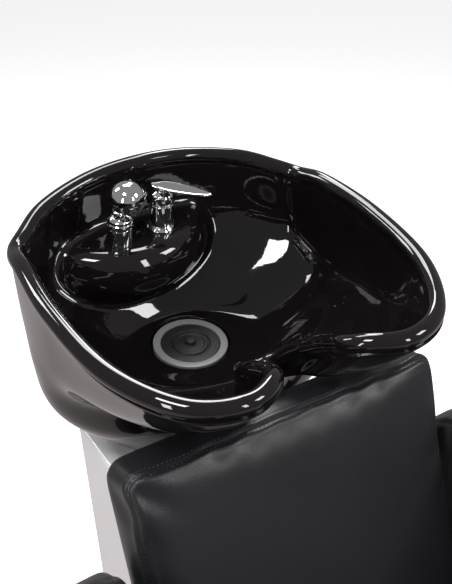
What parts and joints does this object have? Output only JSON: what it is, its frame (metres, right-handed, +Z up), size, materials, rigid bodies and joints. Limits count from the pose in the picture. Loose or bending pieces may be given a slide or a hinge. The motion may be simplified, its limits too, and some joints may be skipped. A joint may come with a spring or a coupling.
{
  "type": "shampoo backwash unit",
  "caption": "Reclined salon wash seat with a tilting black ceramic basin on a white pedestal, lever mixer tap and hand spray.",
  "frame": {"origin": "middle of the bounding box at floor level", "axes": "+X to the right of a person standing in front of the seat and facing it, +Y from the seat towards the basin, +Z up"},
  "size_m": [0.67, 1.068, 0.9875],
  "materials": {
    "glazed_black": "deep gloss black glaze",
    "chrome": "polished chrome",
    "drain_grey": "satin grey",
    "black_rubber": "matte black",
    "black_plastic": "satin black",
    "white_plastic": "satin white",
    "braided_steel": "woven steel braid",
    "brass": "machined brass",
    "black_painted_steel": "black powder coat",
    "bright_steel": "zinc plated",
    "white_gelcoat": "gloss white moulding",
    "black_leatherette": "black leatherette, soft sheen",
    "birch_plywood": "bare plywood"
  },
  "bodies": {
    "stand": {"friction_washer_left": "black_rubber", "friction_washer_right": "black_rubber", "glide_left": "black_rubber", "glide_right": "black_rubber", "trap": "white_plastic", "waste_hose": "white_plastic", "waste_pipe": "white_plastic", "supply_hose_hot": "braided_steel", "supply_hose_cold": "braided_steel", "spray_hose": "braided_steel", "supply_fitting_hot": "brass", "supply_fitting_cold": "brass", "pivot_yoke": "black_painted_steel", "column": "black_painted_steel", "column_foot": "black_painted_steel", "seat_beam": "black_painted_steel", "front_leg": "black_painted_steel", "foot_bar": "black_painted_steel", "seat_rail_left": "black_painted_steel", "seat_rail_right": "black_painted_steel", "arm_bracket_left": "black_painted_steel", "arm_bracket_right": "black_painted_steel", "cross_tube_front": "black_painted_steel", "cross_tube_back": "black_painted_steel", "back_upright_left": "black_painted_steel", "back_upright_right": "black_painted_steel", "pivot_bolt_left": "bright_steel", "pivot_bolt_right": "bright_steel", "anchor_bolt_left": "bright_steel", "anchor_bolt_right": "bright_steel", "frame_hinge": "bright_steel", "pedestal_shell": "white_gelcoat", "back_cushion": "black_leatherette", "seat_cushion": "black_leatherette", "arm_left": "black_leatherette", "arm_right": "black_leatherette", "back_board": "birch_plywood", "seat_board": "birch_plywood"},
    "basin": {"basin": "glazed_black", "drain_ring": "drain_grey", "drain_gasket": "black_rubber", "drain_nut": "black_plastic", "basin_bracket": "black_painted_steel", "mixer_flange": "chrome", "mixer_body": "chrome", "mixer_nut": "black_plastic", "spray_guide": "chrome", "spray_nut": "black_plastic"},
    "strainer": {"strainer": "black_rubber"},
    "mixer_cap": {"mixer_cap": "chrome", "lever_pin": "chrome"},
    "mixer_lever": {"mixer_lever": "chrome"},
    "spray": {"spray_ball": "chrome", "spray_face": "black_plastic", "spray_collar": "chrome", "spray_tail": "braided_steel"},
    "door": {"service_door": "white_gelcoat", "door_hinge": "bright_steel", "door_latch": "black_plastic"}
  },
  "joints": [
    {"name": "basin_tilt", "type": "hinge", "parent": "stand", "child": "basin", "pos_m": [0, 0.365, 0.63], "axis": [1, 0, 0], "range_deg": [-12, 0], "deforming": ["waste_hose", "supply_hose_hot", "supply_hose_cold", "spray_hose"]},
    {"name": "strainer_lift", "type": "slide", "parent": "basin", "child": "strainer", "axis": [0, -0.0802, 0.9968], "range_m": [0, 0.03]},
    {"name": "mixer_swivel", "type": "hinge", "parent": "basin", "child": "mixer_cap", "pos_m": [0.014, 0.47736, 0.88445], "axis": [0, -0.1249, 0.9922], "range_deg": [-45, 45]},
    {"name": "mixer_lift", "type": "hinge", "parent": "mixer_cap", "child": "mixer_lever", "pos_m": [0.014, 0.46991, 0.94358], "axis": [-0.8829, -0.4658, -0.0586], "range_deg": [0, 22]},
    {"name": "spray_pull", "type": "slide", "parent": "basin", "child": "spray", "axis": [0, -0.1249, 0.9922], "range_m": [0, 0.06]},
    {"name": "door_swing", "type": "hinge", "parent": "stand", "child": "door", "pos_m": [-0.0915, 0.4603, 0.295], "axis": [0, 0, 1], "range_deg": [0, 100]}
  ]
}
